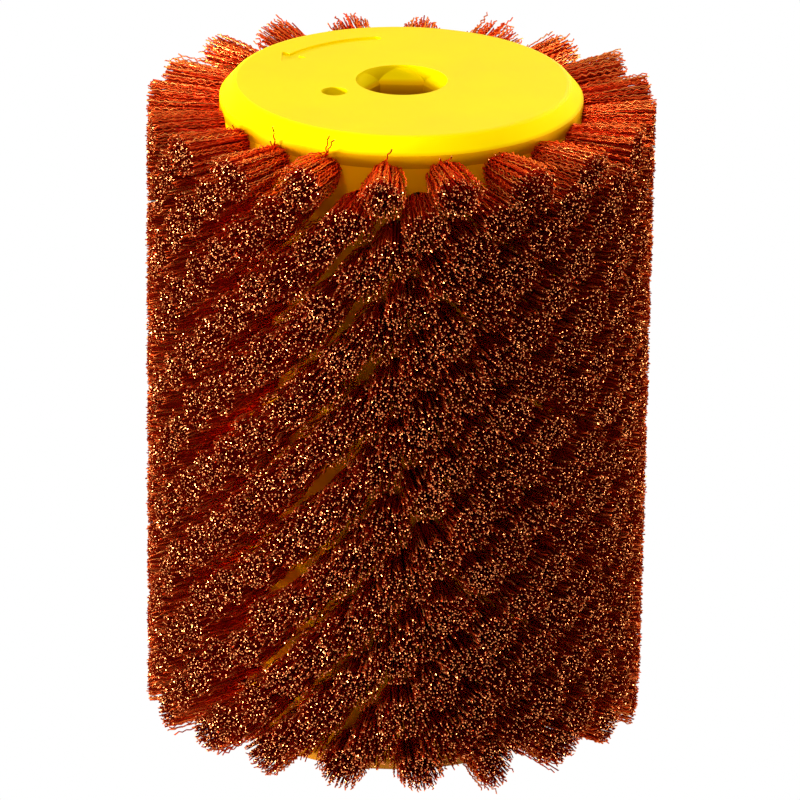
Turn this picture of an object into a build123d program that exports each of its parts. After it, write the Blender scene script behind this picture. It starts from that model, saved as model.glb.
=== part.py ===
"""Rotary wire brush: a moulded drum with rings of crimped copper tufts, driven through a hex bore."""

from build123d import *

import os
from math import cos, hypot, radians, sin

# ---- Driving dimensions (mm, degrees) ----------------------------------------------------------

# Whole brush. The axis is +Z, and the lower end face lies on z = 0.
brush_length = 100.0          # end face to end face
brush_diameter = 74.6         # across the wire tips

# Drum
drum_diameter = 53.4
drum_wall = 9.0
cap_rim_height = 4.25         # visible rim of each end cap, end face to parting line
cap_bevel_height = 2.35       # bevel around the end face, along the axis
cap_bevel_width = 2.0         # the same bevel, along the radius
cap_bevel_blend = 1.2         # radius that softens the bevel's outer edge
spigot_depth = 4.0            # part of the cap that plugs into the drum

# Hex drive
hex_across_flats = 11.2
mouth_margin = 0.28           # corner of the hexagon to the round rim of its mouth
mouth_depth = 2.7             # end face to the start of the plain hexagon
mouth_lip = 0.4               # end face to the top of each lead-in facet, at its middle
sleeve_wall = 2.0

# Locating hole in each end face
locator_diameter = 3.8
locator_depth = 6.0
locator_web = 0.5             # plastic between the hole and the hex sleeve's corner
locator_angle = -150.7        # angle of the hole around the axis

# Sunk rotation arrow in each end face
arrow_inset = 5.5             # inner edge of the bevel to the arrow's line
arrow_width = 1.6
arrow_depth = 0.3
arrow_start = 102.0           # angle of the arrow's tail
arrow_sweep = 44.0            # angle from the tail to the head's base
arrow_head_length = 3.4
arrow_head_width = 4.4

# Tufts: wire bundles folded around a flat anchor wire and driven into blind holes
ring_count = 22
tufts_per_ring = 20
end_ring_offset = 5.375       # end face to the first ring of tufts
ring_twist = 7.2              # turn from one ring to the next one up
top_ring_angle = -95.0        # angle of one tuft of the top ring
tuft_hole_diameter = 3.8
tuft_hole_depth = 7.0
tuft_tip_gap = 0.4            # between neighbouring tufts at their tips

# Anchors
anchor_thickness = 0.4
anchor_height = 1.6           # along the tuft
anchor_floor_gap = 0.9        # wire folded below the anchor

# Clearances
plug_clearance = 0.05         # cap spigot in drum, and hex sleeve in cap, per side
sleeve_end_clearance = 0.05
tuft_clearance = 0.05         # tuft root in its hole, per side and at the floor
anchor_clearance = 0.05       # anchor in the tuft's fold, per side

# ---- Values worked out from them ---------------------------------------------------------------

drum_radius = drum_diameter / 2
drum_bore_radius = drum_radius - drum_wall
face_radius = drum_radius - cap_bevel_width
spigot_radius = drum_bore_radius - plug_clearance
top_seam = brush_length - cap_rim_height

hex_apothem = hex_across_flats / 2
mouth_radius = hex_apothem / cos(radians(30)) + mouth_margin
facet_slope = (mouth_radius - hex_apothem) / (mouth_depth - mouth_lip)
mouth_apothem = hex_apothem + facet_slope * mouth_depth

sleeve_apothem = hex_apothem + sleeve_wall
socket_apothem = sleeve_apothem + plug_clearance
socket_floor = cap_rim_height          # depth of the sleeve's seat below the end face
cap_depth = cap_rim_height + spigot_depth
sleeve_length = brush_length - 2 * (socket_floor + sleeve_end_clearance)

# The locating hole stands clear of the sleeve's corners, whatever its angle
locator_radius = socket_apothem / cos(radians(30)) + locator_web + locator_diameter / 2
locator_centre = Vector(locator_radius, 0, 0).rotate(Axis.Z, locator_angle)

tuft_hole_radius = tuft_hole_diameter / 2
tuft_floor_radius = drum_radius - tuft_hole_depth
tuft_root_radius = tuft_hole_radius - tuft_clearance
tuft_inner_end = tuft_floor_radius + tuft_clearance
brush_radius = brush_diameter / 2
tuft_step = 360 / tufts_per_ring

anchor_inner_end = tuft_inner_end + anchor_floor_gap
anchor_length = tuft_hole_diameter - 2 * tuft_clearance

ring_pitch = (brush_length - 2 * end_ring_offset) / (ring_count - 1)
ring_levels = [end_ring_offset + ring_pitch * ring for ring in range(ring_count)]
ring_angles = [top_ring_angle - ring_twist * (ring_count - 1 - ring) for ring in range(ring_count)]


def tip_distance(rings_apart):
    """Distance from a tuft's tip to the nearest tip of a ring that many rings away."""
    turn = rings_apart * ring_twist % tuft_step if rings_apart else tuft_step
    chord = 2 * brush_radius * sin(radians(min(turn, abs(tuft_step - turn) or turn) / 2))
    return hypot(chord, rings_apart * ring_pitch)


tuft_tip_radius = (min(tip_distance(rings_apart) for rings_apart in range(3)) - tuft_tip_gap) / 2

# The arrow's head starts at the end of its line and points along the turn
arrow_radius = face_radius - arrow_inset
arrow_line = CenterArc((0, 0), arrow_radius, arrow_start, arrow_sweep)
arrow_head_corners = [
    Vector(across, along, 0).rotate(Axis.Z, arrow_start + arrow_sweep)
    for across, along in (
        (arrow_radius - arrow_head_width / 2, 0),
        (arrow_radius + arrow_head_width / 2, 0),
        (arrow_radius, arrow_head_length),
    )
]


def tuft_places(ring):
    """Where the tufts of one ring stand; a tuft is modelled pointing along +X at z = 0."""
    return [
        Location((0, 0, ring_levels[ring]), (0, 0, ring_angles[ring] + tuft_step * tuft))
        for tuft in range(tufts_per_ring)
    ]


os.makedirs("parts", exist_ok=True)


def write(piece, node):
    """Label a finished piece and write it as one STEP file."""
    piece.part.label = node
    export_step(piece.part, f"parts/{node}.step")


# ---- Shapes that repeat ------------------------------------------------------------------------

# Blind tuft hole, as a solid to take away
with BuildPart() as tuft_hole:
    with BuildSketch(Plane.YZ.offset(tuft_floor_radius)):
        Circle(tuft_hole_radius)
    extrude(amount=tuft_hole_depth + tuft_clearance)

# Anchor: a short flat wire across the bottom of the hole
with BuildPart() as anchor:
    with BuildSketch(Plane.YZ.offset(anchor_inner_end)):
        Rectangle(anchor_thickness, anchor_length - 2 * anchor_clearance)
    extrude(amount=anchor_height)

# Tuft: a straight root in the hole and a cone that spreads to the tips
with BuildPart() as tuft:
    with BuildSketch(Plane.XZ):
        with BuildLine():
            Polyline(
                (tuft_inner_end, 0),
                (tuft_inner_end, tuft_root_radius),
                (drum_radius, tuft_root_radius),
                (brush_radius, tuft_tip_radius),
                (brush_radius, 0),
                close=True,
            )
        make_face()
    revolve(axis=Axis.X)
    with BuildSketch(Plane.YZ.offset(anchor_inner_end - anchor_clearance)):
        Rectangle(anchor_thickness + 2 * anchor_clearance, tuft_hole_diameter)
    extrude(amount=anchor_height + 2 * anchor_clearance, mode=Mode.SUBTRACT)

# Hex mouth, as a solid to take away: six sloping facets, held within the round rim
with BuildPart() as hex_mouth:
    with BuildSketch(Plane.XY):
        RegularPolygon(mouth_apothem, side_count=6, major_radius=False)
    with BuildSketch(Plane.XY.offset(-mouth_depth)):
        RegularPolygon(hex_apothem, side_count=6, major_radius=False)
    loft()
    Cylinder(mouth_radius, 2 * mouth_depth, mode=Mode.INTERSECT)

# End cap, modelled with its end face on z = 0 and its spigot pointing down
with BuildPart() as cap_blank:
    with BuildSketch(Plane.XZ):
        with BuildLine():
            Polyline(
                (0, 0),
                (face_radius, 0),
                (drum_radius, -cap_bevel_height),
                (drum_radius, -cap_rim_height),
                (spigot_radius, -cap_rim_height),
                (spigot_radius, -cap_depth),
                (0, -cap_depth),
                close=True,
            )
        bevel_edge = make_face().vertices().sort_by_distance((drum_radius, 0, -cap_bevel_height))[0]
        fillet(bevel_edge, cap_bevel_blend)
    revolve(axis=Axis.Z)
    # Hex bore, its mouth, and the seat of the hex sleeve behind it
    with BuildSketch(Plane.XY):
        RegularPolygon(hex_apothem, side_count=6, major_radius=False)
    extrude(amount=-cap_depth, mode=Mode.SUBTRACT)
    add(hex_mouth.part, mode=Mode.SUBTRACT)
    with BuildSketch(Plane.XY.offset(-cap_depth)):
        RegularPolygon(socket_apothem, side_count=6, major_radius=False)
    extrude(amount=spigot_depth, mode=Mode.SUBTRACT)
    # Locating hole
    with Locations(locator_centre):
        Hole(locator_diameter / 2, depth=locator_depth)
    # Rotation arrow: an arc with a triangular head
    with BuildSketch(Plane.XY):
        SlotArc(arrow_line, arrow_width)
        with BuildLine():
            Polyline(*arrow_head_corners, close=True)
        make_face()
    extrude(amount=-arrow_depth, mode=Mode.SUBTRACT)

# ---- Drum, end caps and hex sleeve -------------------------------------------------------------

with BuildPart() as drum:
    with BuildSketch(Plane.XY.offset(cap_rim_height)):
        Circle(drum_radius)
        Circle(drum_bore_radius, mode=Mode.SUBTRACT)
    extrude(amount=top_seam - cap_rim_height)
    with Locations(*[place for ring in range(ring_count) for place in tuft_places(ring)]):
        add(tuft_hole.part, mode=Mode.SUBTRACT)
write(drum, "drum")

# The holes of the first ring also notch the cap's rim, because they are drilled after assembly
with BuildPart() as end_cap_top:
    with Locations(Location((0, 0, brush_length))):
        add(cap_blank.part)
    with Locations(*tuft_places(ring_count - 1)):
        add(tuft_hole.part, mode=Mode.SUBTRACT)
write(end_cap_top, "end_cap_top")

with BuildPart() as end_cap_bottom:
    with Locations(Location((0, 0, 0), (180, 0, 0))):
        add(cap_blank.part)
    with Locations(*tuft_places(0)):
        add(tuft_hole.part, mode=Mode.SUBTRACT)
write(end_cap_bottom, "end_cap_bottom")

with BuildPart() as hex_sleeve:
    with BuildSketch(Plane.XY.offset(socket_floor + sleeve_end_clearance)):
        RegularPolygon(sleeve_apothem, side_count=6, major_radius=False)
        RegularPolygon(hex_apothem, side_count=6, major_radius=False, mode=Mode.SUBTRACT)
    extrude(amount=sleeve_length)
write(hex_sleeve, "hex_sleeve")

# ---- Tufts and their anchors, one node for each ring -------------------------------------------

for ring in range(ring_count):
    with BuildPart() as tuft_ring:
        with Locations(*tuft_places(ring)):
            add(tuft.part)
    write(tuft_ring, f"tuft_ring_{ring + 1:02d}")

    with BuildPart() as anchor_ring:
        with Locations(*tuft_places(ring)):
            add(anchor.part)
    write(anchor_ring, f"anchor_ring_{ring + 1:02d}")
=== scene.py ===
# %% [markdown]
# # A rotary wire brush
#
# The real brush is a yellow moulded drum, 100 mm long, with 440 tufts of crimped copper wire. The drum,
# its two end caps and the hex sleeve inside come from the CAD model, and only need finishes here. The
# tufts come from CAD as plain cones, so this lesson replaces each ring of cones with real wires.
#
# Every length is in metres. Places and sizes are read from the CAD frame.

import math

import bpy
import numpy as np
from mathutils import Euler, Matrix, Vector


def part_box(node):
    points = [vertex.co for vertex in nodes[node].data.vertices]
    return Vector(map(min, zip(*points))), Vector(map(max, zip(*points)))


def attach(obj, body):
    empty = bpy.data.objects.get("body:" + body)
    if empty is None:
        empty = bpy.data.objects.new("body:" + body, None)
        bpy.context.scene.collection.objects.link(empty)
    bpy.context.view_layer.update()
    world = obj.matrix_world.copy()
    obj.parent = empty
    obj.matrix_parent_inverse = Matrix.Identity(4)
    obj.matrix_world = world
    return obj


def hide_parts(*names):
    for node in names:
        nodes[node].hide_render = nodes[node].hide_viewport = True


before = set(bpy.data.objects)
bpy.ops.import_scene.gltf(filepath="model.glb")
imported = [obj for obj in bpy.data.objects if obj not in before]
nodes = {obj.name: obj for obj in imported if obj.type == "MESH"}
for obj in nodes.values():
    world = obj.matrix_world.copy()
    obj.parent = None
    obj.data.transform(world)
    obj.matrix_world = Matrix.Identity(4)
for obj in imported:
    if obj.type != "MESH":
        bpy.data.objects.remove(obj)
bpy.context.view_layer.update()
bpy.ops.object.select_all(action="DESELECT")
print("nodes in the frame:", len(nodes))

# %% [markdown]
# ## Sizes read from the frame
#
# The drum's box gives its radius, and its height above the ground gives the length of a cap. A ring's
# height is the middle of its box. What the boxes can't say is a named value of its own: how many tufts
# a ring has, how the rings are turned, and where the wires end, because a ring's box also holds the
# corners of its cones.

# %% Read the sizes
MM = 0.001
FULL_TURN = 2 * math.pi


def box_centre(node):
    """The middle of a CAD node's box."""
    low, high = (np.array(corner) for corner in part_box(node))
    return (low + high) / 2


def box_size(node):
    """The width, depth and height of a CAD node's box."""
    low, high = (np.array(corner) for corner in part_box(node))
    return high - low


ring_names = sorted(name for name in nodes if name.startswith("tuft_ring_"))
anchor_names = sorted(name for name in nodes if name.startswith("anchor_ring_"))
ring_heights = [box_centre(name)[2] for name in ring_names]
drum_radius = box_size("drum")[0] / 2
cap_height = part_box("drum")[0][2]
brush_length = box_size("drum")[2] + 2 * cap_height
brush_radius = 37.3 * MM
tufts_per_ring = 20
top_ring_angle = math.radians(-95.0)        # where the first tuft of the top ring stands
ring_twist = math.radians(7.2)              # from each ring to the one above it
print("rings:", len(ring_names), "of", tufts_per_ring, "tufts")
print("drum radius:", round(drum_radius / MM, 2), "mm, length:", round(brush_length / MM, 1), "mm")

# %% [markdown]
# ## Camera
#
# The brush stands upright and the camera looks down on it a little, from a metre away through a long
# lens, so the sides taper gently towards the bottom. The camera is turned by less than a degree.

# %% Place the camera
camera_distance = 0.952
camera_elevation = math.radians(21.956)
camera_roll = math.radians(0.77)
camera_lens = 286.6
camera_shift = (0.0033, 0.0013)
aim_below_middle = 0.75 * MM
camera_aim = Vector((0, 0, brush_length / 2 - aim_below_middle))

camera_data = bpy.data.cameras.new("camera")
camera_data.lens = camera_lens
camera_data.sensor_width = 36
camera_data.shift_x, camera_data.shift_y = camera_shift
camera_data.clip_start = 0.05
camera_data.clip_end = 20
camera = bpy.data.objects.new("camera", camera_data)
bpy.context.collection.objects.link(camera)
camera_back = Vector((0, -math.cos(camera_elevation), math.sin(camera_elevation)))
camera.location = camera_aim + camera_distance * camera_back
look = Euler((math.pi / 2 - camera_elevation, 0, 0)).to_matrix()
camera.rotation_euler = (look @ Matrix.Rotation(camera_roll, 3, "Z")).to_euler()
bpy.context.scene.camera = camera
print("camera at", [round(value, 3) for value in camera.location])

# %% [markdown]
# ## White surroundings
#
# The brush is shown on plain white. If the surroundings lit it as strongly as they look, its dark gaps
# would turn grey. The Light Path node tells the two apart: the camera and the copper's reflections see
# full white, and the light that falls on the brush is much weaker.

# %% Make the world
WHITE = (1, 1, 1, 1)
AMBIENT = 0.3                 # strength of the light from all around, against the white that is seen


def sees_white(tree):
    """1 for camera, glossy and transmission rays, which see the white studio; 0 for the light itself."""
    path = tree.nodes.new("ShaderNodeLightPath")
    total = path.outputs["Is Camera Ray"]
    for output in ("Is Glossy Ray", "Is Transmission Ray"):
        either = tree.nodes.new("ShaderNodeMath")
        either.operation = "MAXIMUM"
        tree.links.new(total, either.inputs[0])
        tree.links.new(path.outputs[output], either.inputs[1])
        total = either.outputs["Value"]
    return total


def white_when_seen(tree, lighting, seen, output):
    """Send one shader to the rays that see the studio, and the other to those that light the brush."""
    mix = tree.nodes.new("ShaderNodeMixShader")
    tree.links.new(sees_white(tree), mix.inputs["Fac"])
    tree.links.new(lighting, mix.inputs[1])
    tree.links.new(seen, mix.inputs[2])
    tree.links.new(mix.outputs["Shader"], output.inputs["Surface"])


def background(tree, strength):
    """A white background shader of that strength."""
    shader = tree.nodes.new("ShaderNodeBackground")
    shader.inputs["Color"].default_value = WHITE
    shader.inputs["Strength"].default_value = strength
    return shader.outputs["Background"]


bpy.context.scene.view_settings.view_transform = "Standard"
world = bpy.data.worlds.new("studio")
bpy.context.scene.world = world
world.use_nodes = True
world_tree = world.node_tree
world_tree.nodes.clear()
world_output = world_tree.nodes.new("ShaderNodeOutputWorld")
white_when_seen(world_tree, background(world_tree, AMBIENT), background(world_tree, 1.0), world_output)
print("world nodes:", len(world_tree.nodes))

# %% [markdown]
# ## Lamps
#
# Four square area lamps light the brush. A lamp above gives the glints on the wire ends and lights the
# end face. The strongest one stands low on the left, so that it shines between the tufts. A weaker one
# fills from the right, and a faint one behind lights the far wires.

# %% Hang the lamps
# For each lamp: where it stands, how wide it is, and its power in watts
LAMPS = {
    "key_lamp": ((-0.3, -0.42, 1.05), 0.3, 6.0),
    "side_lamp": ((-1.0, -0.4, 0.1), 0.4, 42.0),
    "fill_lamp": ((1.0, 0.0, 0.1), 0.4, 10.0),
    "rim_lamp": ((0.3, 0.7, 0.5), 0.5, 2.5),
}


def add_lamp(name, place, size, power):
    """A square area lamp at place, turned to face the middle of the brush."""
    data = bpy.data.lights.new(name, "AREA")
    data.shape = "SQUARE"
    data.size = size
    data.energy = power
    lamp = bpy.data.objects.new(name, data)
    bpy.context.collection.objects.link(lamp)
    lamp.location = place
    lamp.rotation_euler = (camera_aim - Vector(place)).to_track_quat("-Z", "Y").to_euler()


for name, (place, size, power) in LAMPS.items():
    add_lamp(name, place, size, power)
print("lamps:", len(LAMPS))

# %% [markdown]
# ## Floor
#
# The floor is a wide plane. It looks white in the same way as the surroundings, and the light that it
# throws back on the brush is that of pale grey paint. It lies a hair below the end face that stands on
# it, because two faces in the same place flicker.

# %% Lay the floor
FLOOR_WIDTH = 6
FLOOR_GAP = 0.2 * MM
FLOOR_GREY = (0.8, 0.8, 0.8, 1)

bpy.ops.mesh.primitive_plane_add(size=FLOOR_WIDTH, location=(0, 0, -FLOOR_GAP))
floor = bpy.context.object
floor.name = "floor"
floor_material = bpy.data.materials.new("floor_white")
floor_material.use_nodes = True
floor_tree = floor_material.node_tree
floor_tree.nodes.clear()
floor_output = floor_tree.nodes.new("ShaderNodeOutputMaterial")
floor_paint = floor_tree.nodes.new("ShaderNodeBsdfDiffuse")
floor_paint.inputs["Color"].default_value = FLOOR_GREY
floor_white = floor_tree.nodes.new("ShaderNodeEmission")
white_when_seen(floor_tree, floor_paint.outputs["BSDF"], floor_white.outputs["Emission"], floor_output)
floor.data.materials.append(floor_material)
print("floor:", FLOOR_WIDTH, "m wide")

# %% [markdown]
# ## Building blocks for materials
#
# Every finish below is made of the same few nodes: noise, a ramp that turns a value into a colour, and
# a product of two colours. Each helper adds one node, links it, and hands back its output.

# %% Helpers for materials


def new_material(name):
    """A material with its node tree and its Principled shader."""
    material = bpy.data.materials.new(name)
    material.use_nodes = True
    shader = material.node_tree.nodes["Principled BSDF"]
    return material, material.node_tree, shader


def colour_ramp(tree, value, stops):
    """The colour that the (position, colour) stops give to a value."""
    ramp = tree.nodes.new("ShaderNodeValToRGB")
    elements = ramp.color_ramp.elements
    while len(elements) < len(stops):
        elements.new(0.5)
    for element, (position, colour) in zip(elements, stops):
        element.position = position
        element.color = (*colour, 1)
    tree.links.new(value, ramp.inputs["Fac"])
    return ramp.outputs["Color"]


def noise(tree, place, scale, detail=2):
    """Soft random values from 0 to 1, about scale of them to each unit of place."""
    texture = tree.nodes.new("ShaderNodeTexNoise")
    texture.inputs["Scale"].default_value = scale
    texture.inputs["Detail"].default_value = detail
    tree.links.new(place, texture.inputs["Vector"])
    return texture.outputs["Fac"]


def scaled(tree, place, scale):
    """A place with each of its three directions scaled on its own."""
    mapping = tree.nodes.new("ShaderNodeMapping")
    mapping.inputs["Scale"].default_value = scale
    tree.links.new(place, mapping.inputs["Vector"])
    return mapping.outputs["Vector"]


def calculated(tree, operation, value, number=0.0):
    """The result of one Math node on a value and, where it takes two, a number."""
    maths = tree.nodes.new("ShaderNodeMath")
    maths.operation = operation
    maths.inputs[1].default_value = number
    tree.links.new(value, maths.inputs[0])
    return maths.outputs["Value"]


def ranged(tree, value, low, high):
    """A value from 0 to 1 brought to the range from low to high."""
    map_range = tree.nodes.new("ShaderNodeMapRange")
    map_range.inputs["To Min"].default_value = low
    map_range.inputs["To Max"].default_value = high
    tree.links.new(value, map_range.inputs["Value"])
    return map_range.outputs["Result"]


def multiplied(tree, first, second):
    """The product of two colours."""
    product = tree.nodes.new("ShaderNodeMix")
    product.data_type = "RGBA"
    product.blend_type = "MULTIPLY"
    product.inputs["Factor"].default_value = 1.0
    tree.links.new(first, product.inputs["A"])
    tree.links.new(second, product.inputs["B"])
    return product.outputs["Result"]


def finish_node(name, material):
    """Put one material in every slot of a carried-over CAD node."""
    for slot in nodes[name].material_slots:
        slot.material = material


print("helpers for materials are ready")

# %% [markdown]
# ## Yellow moulded plastic
#
# The drum and its caps are injection moulded in a strong yellow. Such a plastic is even in colour, with
# a soft gloss and a very fine texture from the mould. Shade is painted into the colour where the wires
# meet it: brown painted shade darkens the foot of the upper cap and all of the lower cap, and the drum is
# a darker, more orange copy of the yellow, which is painted shade and painted copper-coloured light. The
# painted shade on the caps is a ramp on the distance from the end face, so it needs no shape of its own.

# %% Make the plastics
UPPER_CAP_SHADE_EDGE = 1.9 * MM           # from the end face down to where the painted shade begins
LOWER_CAP_SHADE_EDGE = -6.0 * MM        # the lower cap, which the brush stands on, has painted shade all over
RIM_FOOT = 5.2 * MM           # from the end face down to where the painted shade is darkest
# Painted shade: the brown that darkens the yellow towards the foot of a cap
PAINTED_SHADE_RAMP = (
    (0.0, (0.35, 0.16, 1.0)),
    (0.45, (0.48, 0.25, 1.0)),
    (0.85, (0.85, 0.60, 1.0)),
    (1.0, (1.0, 1.0, 1.0)),
)
PLASTIC_IOR = 1.49
BLOTCHES_PER_METRE = 60
GRAINS_PER_METRE = 2600
GRAIN_STRENGTH = 0.08
GRAIN_DEPTH = 0.05 * MM
GLOSS_CHANGE = 0.06           # how much the roughness changes from blotch to blotch


def with_painted_shade(tree, place, colour, shade_edge):
    """The colour darkened with painted brown shade, from the given edge below the end face to the cap's
    foot.
    """
    split = tree.nodes.new("ShaderNodeSeparateXYZ")
    tree.links.new(place, split.inputs["Vector"])
    from_middle = calculated(tree, "SUBTRACT", split.outputs["Z"], brush_length / 2)
    down_rim = tree.nodes.new("ShaderNodeMapRange")
    down_rim.inputs["From Min"].default_value = brush_length / 2 - RIM_FOOT
    down_rim.inputs["From Max"].default_value = brush_length / 2 - shade_edge
    tree.links.new(calculated(tree, "ABSOLUTE", from_middle), down_rim.inputs["Value"])
    return multiplied(tree, colour, colour_ramp(tree, down_rim.outputs["Result"], PAINTED_SHADE_RAMP))


def moulded_plastic(name, pale, deep, roughness, shade_edge=None):
    """Moulded plastic: slight blotches of colour, a fine mould texture, and painted shade at the foot of a
    cap.
    """
    material, tree, shader = new_material(name)
    place = tree.nodes.new("ShaderNodeTexCoord").outputs["Object"]
    blotches = noise(tree, place, BLOTCHES_PER_METRE, detail=3)
    colour = colour_ramp(tree, blotches, [(0.35, deep), (0.65, pale)])
    # painted shade towards the foot of a cap
    if shade_edge is not None:
        colour = with_painted_shade(tree, place, colour, shade_edge)
    bump = tree.nodes.new("ShaderNodeBump")
    bump.inputs["Strength"].default_value = GRAIN_STRENGTH
    bump.inputs["Distance"].default_value = GRAIN_DEPTH
    tree.links.new(noise(tree, place, GRAINS_PER_METRE), bump.inputs["Height"])
    gloss = ranged(tree, blotches, roughness - GLOSS_CHANGE, roughness + GLOSS_CHANGE)
    tree.links.new(colour, shader.inputs["Base Color"])
    tree.links.new(gloss, shader.inputs["Roughness"])
    tree.links.new(bump.outputs["Normal"], shader.inputs["Normal"])
    shader.inputs["IOR"].default_value = PLASTIC_IOR
    shader.inputs["Specular IOR Level"].default_value = 0.05
    shader.inputs["Specular Tint"].default_value = (1.0, 0.8, 0.1, 1)
    return material


YELLOWS = ((1.0, 0.76, 0.0), (0.98, 0.71, 0.0))
# Painted shade and painted copper-coloured light: the drum, seen only between the tufts, is a darker, more
# orange copy of the yellow
DRUM_SHADED_YELLOWS = ((0.76, 0.34, 0.0), (0.64, 0.26, 0.0))
# Painted shade: the hex sleeve, deep in the bore, is a darker brown copy of the yellow
SLEEVE_SHADED_YELLOWS = ((0.55, 0.27, 0.02), (0.45, 0.20, 0.01))
finish_node("end_cap_top", moulded_plastic("yellow_moulding", *YELLOWS, 0.5, UPPER_CAP_SHADE_EDGE))
# the lower cap gets painted shade all over
finish_node("end_cap_bottom", moulded_plastic("painted_shade_yellow_moulding", *YELLOWS, 0.55, LOWER_CAP_SHADE_EDGE))
finish_node("drum", moulded_plastic("drum_painted_shade_moulding", *DRUM_SHADED_YELLOWS, 0.6))
finish_node("hex_sleeve", moulded_plastic("sleeve_painted_shade_moulding", *SLEEVE_SHADED_YELLOWS, 0.5))
print("moulded pieces finished: 4")

# %% [markdown]
# ## Copper wire
#
# Brush wire is bare copper. No two wires are quite alike in tone, and the colour also carries painted
# shade:
# the inner wires of a tuft get only the dull red-brown tones and darken towards their tips, the outer ones
# get the bright copper tones, and every root is redder and darker. Each cut end is a tiny flat face of
# fresh metal, which is what sparkles on the brush. Every wire carries a UV map of its own: one way is the
# distance along the wire, the other is that wire's tone, and the cut ends have a strip to themselves. The
# material reads only that map, so one small texture can hold the finish of thousands of wires.

# %% Make the copper
WIRE_MAP = "OFBake"
SIDE_STRIP = 0.94             # share of the map's width that the wires' sides take
END_STRIP = (0.96, 0.99)      # where the cut ends lie
INNER_TONES = 0.5             # wires inside a tuft have the tones below this, which are painted shade, and the outer ones above
FRESH_CUT = (1.0, 0.32, 0.10, 1)
TONE_COLOURS = (              # from red-brown to clean copper; the red-brown lower half is painted shade on the inner wires
    (0.0, (0.70, 0.040, 0.006)),
    (0.45, (0.95, 0.070, 0.010)),
    (0.75, (1.00, 0.160, 0.028)),
    (1.0, (1.00, 0.340, 0.080)),
)
TARNISH_STRETCH = (9.0, 60.0, 1.0)
TARNISH = ((0.35, (0.55, 0.42, 0.36)), (0.6, (1.0, 1.0, 1.0)))
# Painted shade along the wire: redder, darker roots on every wire, and inner wires darker towards their
# tips
OUTER_PAINTED_SHADE = ((0.2, (1.0, 0.55, 0.5)), (0.6, (1.0, 1.0, 1.0)))
INNER_PAINTED_SHADE = ((0.3, (1.0, 0.55, 0.5)), (0.6, (1.0, 0.8, 0.8)), (SIDE_STRIP, (0.45, 0.30, 0.28)))
DULL_ROUGHNESS, CLEAN_ROUGHNESS = 0.42, 0.22


def painted_shade_along(tree, along, tone):
    """Painted shade along the wire: redder, darker roots on every wire, and inner wires darkened towards
    their tips.
    """
    shade = tree.nodes.new("ShaderNodeMix")
    shade.data_type = "RGBA"
    tree.links.new(calculated(tree, "GREATER_THAN", tone, INNER_TONES), shade.inputs["Factor"])
    tree.links.new(colour_ramp(tree, along, INNER_PAINTED_SHADE), shade.inputs["A"])
    tree.links.new(colour_ramp(tree, along, OUTER_PAINTED_SHADE), shade.inputs["B"])
    return shade.outputs["Result"]


def copper_wire():
    """The finish of all wires: tone, tarnish in short stretches, shade along the wire, and cut ends."""
    material, tree, shader = new_material("copper_wire")
    wire_map = tree.nodes.new("ShaderNodeUVMap")
    wire_map.uv_map = WIRE_MAP
    split = tree.nodes.new("ShaderNodeSeparateXYZ")
    tree.links.new(wire_map.outputs["UV"], split.inputs["Vector"])
    along, tone = split.outputs["X"], split.outputs["Y"]
    tarnish = noise(tree, scaled(tree, wire_map.outputs["UV"], TARNISH_STRETCH), 1)
    sides = multiplied(tree, colour_ramp(tree, tone, TONE_COLOURS), colour_ramp(tree, tarnish, TARNISH))
    # painted shade along the wire
    sides = multiplied(tree, sides, painted_shade_along(tree, along, tone))
    is_end = calculated(tree, "GREATER_THAN", along, (SIDE_STRIP + END_STRIP[0]) / 2)
    colour = tree.nodes.new("ShaderNodeMix")
    colour.data_type = "RGBA"
    colour.inputs["B"].default_value = FRESH_CUT
    tree.links.new(is_end, colour.inputs["Factor"])
    tree.links.new(sides, colour.inputs["A"])
    tree.links.new(colour.outputs["Result"], shader.inputs["Base Color"])
    tree.links.new(ranged(tree, tone, DULL_ROUGHNESS, CLEAN_ROUGHNESS), shader.inputs["Roughness"])
    shader.inputs["Metallic"].default_value = 0.85
    shader.inputs["Specular IOR Level"].default_value = 0.1
    shader.inputs["Specular Tint"].default_value = (1.0, 0.4, 0.15, 1)
    return material


copper = copper_wire()
print("copper nodes:", len(copper.node_tree.nodes))

# %% [markdown]
# ## One wire
#
# A wire is a long thin cylinder. There are about seventy thousand of them, each a fifth of a millimetre
# thick, and every side costs, so three sides have to do. Three flat sides look thinner than a round
# wire, and the corners are set a little further out to make up for it. The sides are cut into short
# lengths, so that the wire can be crimped later. The two ends keep their own corners, so they stay flat
# and sharp.

# %% Model the wires that are copied
WIRE_THICKNESS = 0.23 * MM
WIRE_SIDES = 3


def select_elements(wire, mode, elements, wanted):
    """Select the edges or faces of a wire that are wanted, and leave it in edit mode."""
    bpy.ops.object.mode_set(mode="EDIT")
    bpy.ops.mesh.select_mode(type=mode)
    bpy.ops.mesh.select_all(action="DESELECT")
    bpy.ops.object.mode_set(mode="OBJECT")
    for element in getattr(wire.data, elements):
        element.select = wanted(element)
    bpy.ops.object.mode_set(mode="EDIT")


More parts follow.
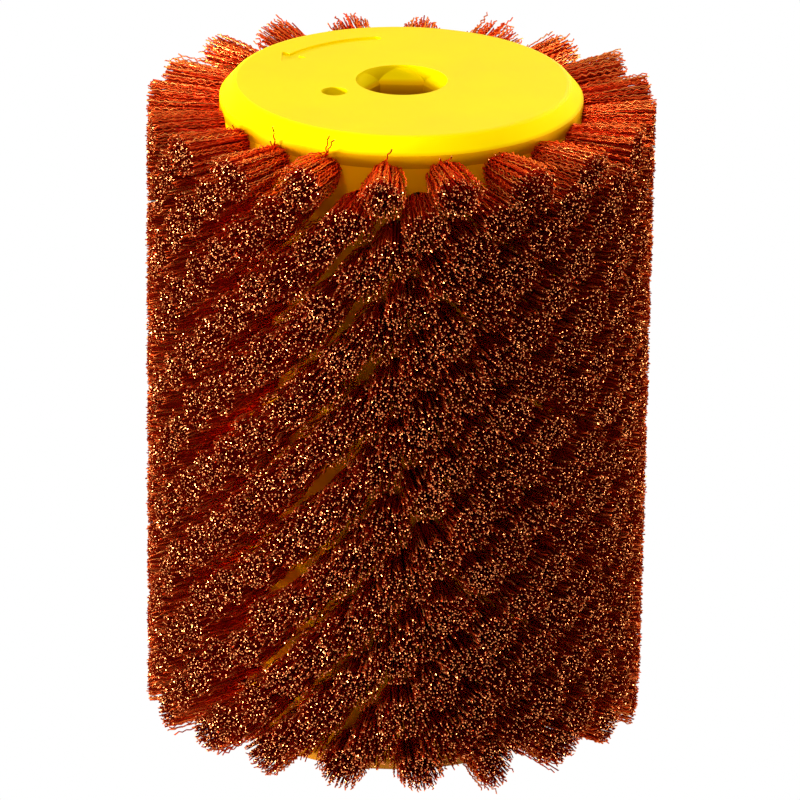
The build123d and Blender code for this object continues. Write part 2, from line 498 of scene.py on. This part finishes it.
def straight_wire(lengths):
    """A straight wire along +X, from 0 to 1, cut into that many lengths: its corners and its faces."""
    bpy.ops.mesh.primitive_cylinder_add(
        vertices=WIRE_SIDES, radius=WIRE_THICKNESS / 2, depth=1, rotation=(0, math.pi / 2, 0)
    )
    bpy.ops.object.transform_apply(location=True, rotation=True, scale=True)
    wire = bpy.context.object
    points = wire.data.vertices

    def runs_along(edge):
        start, end = (points[index].co.x for index in edge.vertices)
        return abs(start - end) > 0.5

    select_elements(wire, "EDGE", "edges", runs_along)
    bpy.ops.mesh.subdivide(number_cuts=lengths - 1)
    select_elements(wire, "FACE", "polygons", lambda face: abs(face.normal.x) > 0.9)
    bpy.ops.mesh.split()
    bpy.ops.object.mode_set(mode="OBJECT")
    corners = np.array([list(point.co) for point in wire.data.vertices])
    corners[:, 0] += 0.5
    faces = [list(face.vertices) for face in wire.data.polygons]
    bpy.data.objects.remove(wire)
    return corners, faces


crimped_wire = straight_wire(18)
shorter_crimp_wire = straight_wire(10)
plain_wire = straight_wire(2)
for corners, faces in (crimped_wire, shorter_crimp_wire, plain_wire):
    print("wire with", len(corners), "points and", len(faces), "faces")

# %% [markdown]
# ## The path of a wire
#
# The wires of a tuft leave a hole 3.8 mm wide side by side and fan out to a tip twice as wide, because
# the crimp holds them apart. They are all trimmed to the same cylinder. The crimp is a small zigzag,
# turned a different way on each wire. The outer wires, which show their sides, have many short lengths,
# and the inner ones, which show little but their cut end, have two.
#
# Bending thousands of copies by hand isn't practical, so here the points are placed by arithmetic on
# whole arrays: each copy of the straight wire is wrapped around its own path.

# %% Helpers that bend a wire
ROOT_DEPTH = 1.5 * MM         # how far the modelled wire reaches into its hole
CRIMP = 0.16 * MM             # half the height of the crimp
CRIMP_RANGE = (0.6, 1.4)      # the shares of it that single bends have
CRIMP_START = 8               # the crimp has its full height from 1/8 of the way out
CRIMP_SHAKE = 0.35            # how far a bend is out of place, as a share of the crimp
WANDER = 0.12 * MM            # how far a wire strays from its line on the way out
WANDER_RANGE = (0.8, 1.8)     # how many half waves it makes on the way
CUT_TILT = 0.45               # slope of the cut end, as the trimming blade leaves it
random = np.random.default_rng(22)


def stations_of(corners):
    """The places along a straight wire that have corners, and for each corner which of them is its own."""
    return np.unique(np.round(corners[:, 0], 4), return_inverse=True)


def fanned_paths(corners, root, tip, flare, length_change):
    """A path for each wire from its root to its tip, and its way out at each station, 1 at the tips."""
    stations = stations_of(corners)[0]
    start = drum_radius - ROOT_DEPTH
    end = np.sqrt(brush_radius**2 - tip[:, 0] ** 2) + length_change
    path = np.empty((len(root), len(stations), 3))
    path[:, :, 0] = start + (end - start)[:, None] * stations[None, :]
    rise = (path[:, :, 0] - drum_radius + ROOT_DEPTH / 3) / (brush_radius - drum_radius)
    fan = np.clip(rise, 0, None) ** flare[:, None]
    path[:, :, 1:] = root[:, None, :] + (tip - root)[:, None, :] * fan[:, :, None]
    return path, rise


def push_aside(path, distance, plane):
    """Move the stations of each path sideways, in that path's own plane."""
    path[:, :, 1] += distance * np.cos(plane)[:, None]
    path[:, :, 2] += distance * np.sin(plane)[:, None]


def crimp_paths(path, rise):
    """Give each path its zigzag, let it wander, and shake its bends a little."""
    wires, stations = rise.shape
    plane = random.uniform(0, FULL_TURN, wires)
    side = np.where(np.arange(stations) % 2, 1.0, -1.0)[None, :]
    height = CRIMP * side * random.uniform(*CRIMP_RANGE, (wires, stations))
    height *= np.clip(rise * CRIMP_START, 0, 1)
    push_aside(path, height, plane)
    drift = WANDER * np.sin(math.pi * (rise * random.uniform(*WANDER_RANGE, (wires, 1))))
    push_aside(path, drift, random.uniform(0, FULL_TURN, wires))
    path[:, 1:, :] += random.normal(0, CRIMP * CRIMP_SHAKE, (wires, stations - 1, 3))


def wrap_wires(corners, path):
    """The straight wire's corners wrapped around each path of (wires, stations) points."""
    station_of = stations_of(corners)[1]
    ahead = np.gradient(path, axis=1)
    ahead /= np.linalg.norm(ahead, axis=2, keepdims=True)
    across = np.cross(ahead, [0, 0, 1.0])
    across /= np.linalg.norm(across, axis=2, keepdims=True)
    over = np.cross(across, ahead)
    roll = random.uniform(0, FULL_TURN, len(path))[:, None, None]
    cos, sin = np.cos(roll), np.sin(roll)
    across, over = across * cos + over * sin, over * cos - across * sin
    offset_y, offset_z = corners[None, :, 1, None], corners[None, :, 2, None]
    return path[:, station_of] + across[:, station_of] * offset_y + over[:, station_of] * offset_z


def cut_askew(corners, placed):
    """Tilt the cut end of each wire a little."""
    at_tip = corners[:, 0] > 0.9999
    tilt = random.normal(0, CUT_TILT, (len(placed), 2))
    tip_points = placed[:, at_tip]
    middle = tip_points.mean(axis=1, keepdims=True)
    lean = ((tip_points - middle)[:, :, 1:] * tilt[:, None, :]).sum(axis=2)
    placed[:, at_tip, 0] += lean
    return placed


print("wires reach", round((brush_radius - drum_radius) / MM, 1), "mm out of the drum")

# %% [markdown]
# ## One tuft
#
# The wires of a tuft are laid out like the seeds of a sunflower, which spreads them evenly, and then
# shaken. No two tufts are alike: each is squeezed a little, its tips are scattered, and some wires stray
# from it, mostly from its rim. The two end rings are seen from the side, so their tufts have more wires,
# and more of those are crimped.

# %% Helpers that build a tuft
END_TUFT = ((crimped_wire, 60), (plain_wire, 130))
MIDDLE_TUFT = ((shorter_crimp_wire, 34), (plain_wire, 125))
ROOT_SPREAD = 1.85 * MM
TIP_SPREAD = np.array([3.7, 3.2]) * MM      # around the brush, and along its axis
GOLDEN_TURN = math.pi * (3 - math.sqrt(5))
START_SHAKE = 0.035           # how far a wire is out of place, as a share of the tuft's radius
TUFT_SQUEEZE = 0.1            # how much a tuft's width differs from the mean, as a share of it
TIP_SCATTER = 0.2 * MM
TRIM_SCATTER = 0.12 * MM
TRIM_LOSS = 0.05 * MM         # how much shorter than the cylinder a wire is on average
STRAY_SHARE = 0.05            # of the inner wires
RIM_STRAY_SHARE = 0.15        # what the wires of the rim have more
TUFT_RIM = 0.9                # the rim begins at this share of the tuft's radius
STRAY_SCATTER = 0.6 * MM
MIDDLE_FLARE, RIM_FLARE_DROP, FLARE_SCATTER = 0.8, 0.3, 0.1     # below 1, a wire fans out early


def wire_starts(count):
    """Where the wires stand in the tuft, in a disc of radius 1: the outer ones first."""
    order = np.arange(count)[::-1]
    reach = np.sqrt((order + 0.5) / count)
    turn = order * GOLDEN_TURN + random.uniform(0, FULL_TURN)
    places = np.stack([reach * np.cos(turn), reach * np.sin(turn)], axis=1)
    return places + random.normal(0, START_SHAKE, places.shape)


def build_tuft(kinds, centre_shift):
    """All the wires of one tuft as points, in its own frame: +X points away from the axis."""
    places = wire_starts(sum(count for template, count in kinds))
    squeeze = random.normal(1, TUFT_SQUEEZE, 2)
    tips = places * TIP_SPREAD * squeeze + centre_shift
    roots = places * ROOT_SPREAD
    tips += random.normal(0, TIP_SCATTER, tips.shape)
    trim = random.normal(0, TRIM_SCATTER, len(places)) - TRIM_LOSS
    reach = np.linalg.norm(places, axis=1)
    strays = random.random(len(tips)) < STRAY_SHARE + RIM_STRAY_SHARE * (reach > TUFT_RIM)
    tips[strays] += random.normal(0, STRAY_SCATTER, (strays.sum(), 2))
    flare = MIDDLE_FLARE - RIM_FLARE_DROP * reach**2
    flare += random.uniform(-FLARE_SCATTER, FLARE_SCATTER, len(places))
    groups, first = [], 0
    for template, count in kinds:
        corners = template[0]
        part = slice(first, first + count)
        first += count
        path, rise = fanned_paths(corners, roots[part], tips[part], flare[part], trim[part])
        crimp_paths(path, rise)
        groups.append((template, cut_askew(corners, wrap_wires(corners, path))))
    return groups


print("wires in a tuft:", [sum(count for template, count in kinds) for kinds in (END_TUFT, MIDDLE_TUFT)])

# %% [markdown]
# ## From points to a mesh
#
# Each ring becomes one mesh. Its faces and its UV map follow from those of the straight wire: a copy's
# corners are numbered on from the last one's, and its map is moved to the strip of its own tone.

# %% Helpers that make the mesh
TONES = 32                    # the lower half, painted shade, for the inner wires, the upper half for the outer ones
TONE_MARGIN = 0.1             # share of a tone's strip that is left free at either side
TONE_WIDTH = 1 - 2 * TONE_MARGIN


def template_map(template):
    """For each face corner of a template: its point, and its place in the wire map within one tone."""
    corners, faces = template
    index, places = [], []
    for face in faces:
        station = corners[face, 0]
        is_end = np.ptp(station) < 1e-4
        spin = np.arctan2(corners[face, 2], corners[face, 1]) / FULL_TURN % 1
        if np.ptp(spin) > 0.5:
            spin = np.where(spin < 0.5, spin + 1, spin)
        for corner in range(len(face)):
            along = station[corner] * SIDE_STRIP
            around = TONE_MARGIN + TONE_WIDTH * min(spin[corner], 1.0)
            if is_end:
                along = END_STRIP[0] + (END_STRIP[1] - END_STRIP[0]) * (corner % 2)
                around = TONE_MARGIN + TONE_WIDTH / 2 * corner
            index.append(face[corner])
            places.append((along, around))
    return np.array(index), np.array(places)


def wire_mesh(name, points, corner_points, corner_places, face_sizes):
    """A smooth copper mesh from its points, the point and map place of each corner, and the face sizes."""
    mesh = bpy.data.meshes.new(name)
    mesh.vertices.add(len(points))
    mesh.vertices.foreach_set("co", points.ravel())
    mesh.loops.add(len(corner_points))
    mesh.loops.foreach_set("vertex_index", corner_points.astype(np.int32))
    mesh.polygons.add(len(face_sizes))
    starts = np.concatenate([[0], np.cumsum(face_sizes)[:-1]])
    mesh.polygons.foreach_set("loop_start", starts.astype(np.int32))
    mesh.update(calc_edges=True)
    mesh.polygons.foreach_set("use_smooth", np.ones(len(face_sizes), dtype=bool))
    mesh.uv_layers.new(name=WIRE_MAP)
    mesh.uv_layers[WIRE_MAP].data.foreach_set("uv", corner_places.ravel())
    mesh.materials.append(copper)
    mesh.validate()
    return mesh


def join_wires(name, batches):
    """One object from batches of (template, placed points, tones)."""
    points, corner_points, corner_places, face_sizes = [], [], [], []
    base = 0
    for template, placed, tones in batches:
        corners, faces = template
        index, places = template_map(template)
        wires = len(placed)
        points.append(placed.reshape(-1, 3))
        offsets = base + np.arange(wires)[:, None] * len(corners)
        corner_points.append((offsets + index[None, :]).ravel())
        spots = np.repeat(places[None], wires, axis=0)
        spots[:, :, 1] = (tones[:, None] + spots[:, :, 1]) / TONES
        corner_places.append(spots.reshape(-1, 2))
        face_sizes.append(np.tile([len(face) for face in faces], wires))
        base += wires * len(corners)
    parts = (np.concatenate(part) for part in (points, corner_points, corner_places, face_sizes))
    piece = bpy.data.objects.new(name, wire_mesh(name, *parts))
    bpy.context.collection.objects.link(piece)
    return piece


print("face corners of a plain wire:", len(template_map(plain_wire)[0]))

# %% [markdown]
# ## Rings of tufts
#
# The drum is drilled in 22 rings of 20 holes, and each ring is turned by two fifths of a step from the
# one below. That makes the slanting rows seen on the brush. Each ring becomes one piece, which stands
# for the CAD cones of that ring.
#
# At the front of the top ring a few wires have worked loose from their tufts and stand up against the
# cap. Each of them is placed one by one, because the eye falls on them first.

# %% Build the rings
TUFT_SHIFT = 0.35 * MM        # how far a tuft leans out of its place
CRIMP_PITCH = 1.3 * MM        # length of one wave of the crimp
LOOSE_CRIMP = 0.12 * MM       # half the height of the crimp on a loose wire
LOOSE_STANDOFF = 0.7 * MM     # how far outside the drum's wall a loose wire starts
LOOSE_DRIFT = 0.8 * MM        # how much further out it ends
LOOSE_ROOT = ROOT_SPREAD - 0.3 * MM         # its start, above the middle of its tuft
# Loose wires of the top ring by tuft: how far each one leans sideways, and how far it rises, in mm
LOOSE_WIRES = {
    18: ((0.2, -0.5), (3.9, 1.5)),
    19: ((0.8, 1.6), (4.4, 3.9)),
    0: ((1.2,), (3.1,)),
    1: ((-0.9, 1.0, 0.3), (1.5, 1.8, 1.0)),
    2: ((-2.2, -1.2, 0.8), (0.8, 1.1, 1.3)),
    17: ((-0.6,), (1.4,)),
}
top_ring = len(ring_names) - 1


def turned(points, angle, height):
    """Points turned about the brush's axis and raised to a ring."""
    cos, sin = math.cos(angle), math.sin(angle)
    out = np.empty_like(points)
    out[..., 0] = points[..., 0] * cos - points[..., 1] * sin
    out[..., 1] = points[..., 0] * sin + points[..., 1] * cos
    out[..., 2] = points[..., 2] + height
    return out


def loose_wires(leans, rises):
    """Crimped wires that stand along the cap, in the frame of their tuft."""
    corners = crimped_wire[0]
    stations = stations_of(corners)[0]
    leans, rises = np.array(leans)[:, None] * MM, np.array(rises)[:, None] * MM
    length = np.hypot(leans, rises)
    wave = LOOSE_CRIMP * np.sin(FULL_TURN * length * stations / CRIMP_PITCH)
    path = np.empty((len(leans), len(stations), 3))
    path[:, :, 0] = drum_radius + LOOSE_STANDOFF + LOOSE_DRIFT * stations
    path[:, :, 1] = leans * stations**1.5 + wave * rises / length
    path[:, :, 2] = LOOSE_ROOT + rises * stations - wave * leans / length
    return wrap_wires(corners, path)


def ring_batches(number, height):
    """The wires of one ring, tuft by tuft, with their tones."""
    first_angle = top_ring_angle - ring_twist * (top_ring - number)
    kinds = END_TUFT if number in (0, top_ring) else MIDDLE_TUFT
    for tuft in range(tufts_per_ring):
        angle = first_angle + FULL_TURN * tuft / tufts_per_ring
        shift = random.normal(0, TUFT_SHIFT, 2)
        for template, placed in build_tuft(kinds, shift):
            # The plain inner wires get the lower, darker tones, which are painted shade between the wires
            lowest = 0 if template is plain_wire else TONES // 2
            tones = random.integers(lowest, lowest + TONES // 2, len(placed))
            yield template, turned(placed, angle, height), tones
        if number == top_ring and tuft in LOOSE_WIRES:
            placed = loose_wires(*LOOSE_WIRES[tuft])
            yield crimped_wire, turned(placed, angle, height), np.zeros(len(placed))


def build_ring(number, name, height):
    """One ring of tufts, replacing the CAD cones of the same ring."""
    piece = join_wires(name.replace("tuft_ring", "wire_tufts"), ring_batches(number, height))
    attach(piece, "root")
    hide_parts(name)
    return piece


rings = [build_ring(number, name, ring_heights[number]) for number, name in enumerate(ring_names)]
for number in (0, 1):
    triangles = sum(len(face.vertices) - 2 for face in rings[number].data.polygons)
    print("triangles in", rings[number].name, "are", triangles)

# %% [markdown]
# ## Anchors
#
# Each tuft is folded around a short flat brass wire at the bottom of its hole. The anchors are out of
# sight, but they still get drawn brass with faint lengthwise streaks.

# %% Finish the anchors
STREAKS_PER_METRE = (400, 400, 4000)
BRASS = ((0.35, (0.50, 0.33, 0.13)), (0.65, (0.68, 0.48, 0.20)))
BRASS_ROUGHNESS = (0.30, 0.48)


def drawn_brass():
    """Brass with the fine streaks that a drawing die leaves."""
    material, tree, shader = new_material("anchor_metal")
    place = tree.nodes.new("ShaderNodeTexCoord").outputs["Object"]
    streaks = noise(tree, scaled(tree, place, STREAKS_PER_METRE), 1)
    tree.links.new(colour_ramp(tree, streaks, BRASS), shader.inputs["Base Color"])
    tree.links.new(ranged(tree, streaks, *BRASS_ROUGHNESS), shader.inputs["Roughness"])
    shader.inputs["Metallic"].default_value = 1.0
    return material


anchor_metal = drawn_brass()
for name in anchor_names:
    finish_node(name, anchor_metal)
print("anchor rings finished:", len(anchor_names))
